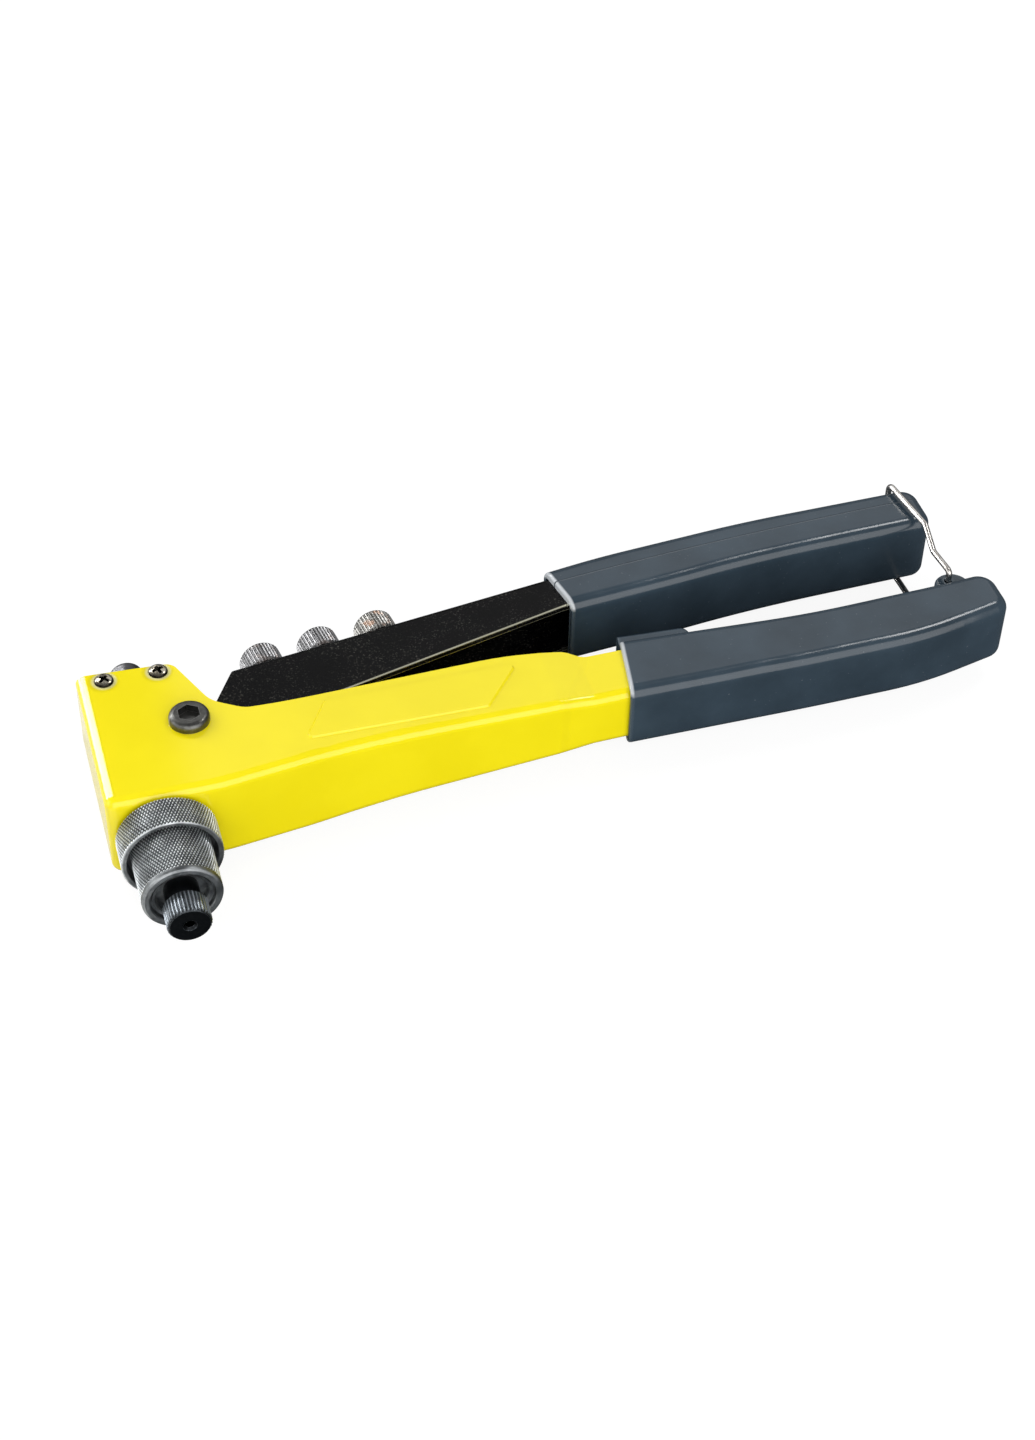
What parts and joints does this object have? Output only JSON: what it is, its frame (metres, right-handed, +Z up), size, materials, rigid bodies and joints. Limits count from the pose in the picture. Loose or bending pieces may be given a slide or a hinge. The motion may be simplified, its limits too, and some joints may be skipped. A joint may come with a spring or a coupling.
{
  "type": "hand riveter",
  "caption": "Long-handled hand riveter with adjustable knurled nose, spare nosepieces stored on the lever and a wire latch for the handles.",
  "frame": {"origin": "on the nose axis, inside the fitted nosepiece's stem hole, 1 mm behind its front face", "axes": "+X along the handles away from the head, -Y out of the nose, +Z up from the side the tool lies on"},
  "size_m": [0.2832, 0.1161, 0.0353],
  "materials": {
    "body_paint": "glossy yellow enamel on pressed steel",
    "lever_paint": "satin black paint on pressed steel",
    "blued_steel": "dark oiled machined steel",
    "block_steel": "dark phosphated steel",
    "knurled_steel": "grey phosphated steel with diamond knurl",
    "nosepiece_steel": "gunmetal hardened steel with straight knurl",
    "screw_nickel": "nickel plated",
    "bolt_steel": "gunmetal, satin",
    "bearing_steel": "turned steel",
    "jaw_steel": "hardened steel",
    "spring_steel": "spring wire",
    "bush_plate": "zinc plated",
    "latch_chrome": "bright plated wire",
    "grip_vinyl": "smooth black vinyl, soft sheen"
  },
  "bodies": {
    "frame": {"body_shell": "body_paint", "nose_bush": "blued_steel", "rear_block": "block_steel", "frame_screws": "screw_nickel", "pivot_bolt": "bolt_steel", "pivot_nut": "bolt_steel", "pivot_bush": "bearing_steel", "pivot_washers": "bearing_steel", "lower_grip": "grip_vinyl"},
    "collar": {"lock_collar": "knurled_steel"},
    "sleeve": {"adjusting_sleeve": "knurled_steel"},
    "nosepiece": {"fitted_nosepiece": "nosepiece_steel"},
    "pull_head": {"pull_tube": "blued_steel", "jaw_case": "blued_steel", "return_spring": "spring_steel"},
    "jaws": {"jaw_1": "jaw_steel", "jaw_2": "jaw_steel", "jaw_3": "jaw_steel", "jaw_pusher": "jaw_steel", "jaw_spring": "spring_steel"},
    "lever": {"lever_channel": "lever_paint", "upper_grip": "grip_vinyl", "storage_bushes": "bush_plate"},
    "spare_1": {"stored_nosepiece_1": "nosepiece_steel"},
    "spare_2": {"stored_nosepiece_2": "nosepiece_steel"},
    "spare_3": {"stored_nosepiece_3": "nosepiece_steel"},
    "latch": {"latch_wire": "latch_chrome"}
  },
  "joints": [
    {"name": "lever_hinge", "type": "hinge", "parent": "frame", "child": "lever", "pos_m": [0.0131, 0.0641, 0], "axis": [0, 0, 1], "range_deg": [0, 36]},
    {"name": "pull_slide", "type": "slide", "parent": "frame", "child": "pull_head", "axis": [0, 1, 0], "range_m": [-0.00812, 0], "deforming": ["return_spring"]},
    {"name": "jaw_slide", "type": "slide", "parent": "pull_head", "child": "jaws", "axis": [0, 1, 0], "range_m": [0, 0.0015], "stiffness_N_per_m": 400, "deforming": ["jaw_spring"]},
    {"name": "collar_spin", "type": "hinge", "parent": "frame", "child": "collar", "pos_m": [0, 0.03, 0], "axis": [0, -1, 0], "range_deg": [0, 360]},
    {"name": "sleeve_spin", "type": "hinge", "parent": "frame", "child": "sleeve", "pos_m": [0, 0.03, 0], "axis": [0, -1, 0], "range_deg": [-360, 360]},
    {"name": "nosepiece_spin", "type": "hinge", "parent": "sleeve", "child": "nosepiece", "pos_m": [0, 0, 0], "axis": [0, -1, 0], "range_deg": [0, 720]},
    {"name": "spare_1_spin", "type": "hinge", "parent": "lever", "child": "spare_1", "pos_m": [0.042, 0.0895, 0], "axis": [-0.1528, 0.9883, 0], "range_deg": [0, 720]},
    {"name": "spare_2_spin", "type": "hinge", "parent": "lever", "child": "spare_2", "pos_m": [0.0603, 0.09233, 0], "axis": [-0.1528, 0.9883, 0], "range_deg": [0, 720]},
    {"name": "spare_3_spin", "type": "hinge", "parent": "lever", "child": "spare_3", "pos_m": [0.0788, 0.09519, 0], "axis": [-0.1528, 0.9883, 0], "range_deg": [0, 720]},
    {"name": "latch_hinge", "type": "hinge", "parent": "lever", "child": "latch", "pos_m": [0.2509, 0.1142, 0], "axis": [0, 0, 1], "range_deg": [0, 170]}
  ],
  "couplings": [
    {"joint": "pull_slide", "follows": "lever_hinge", "m_per_rad": -0.012886}
  ]
}
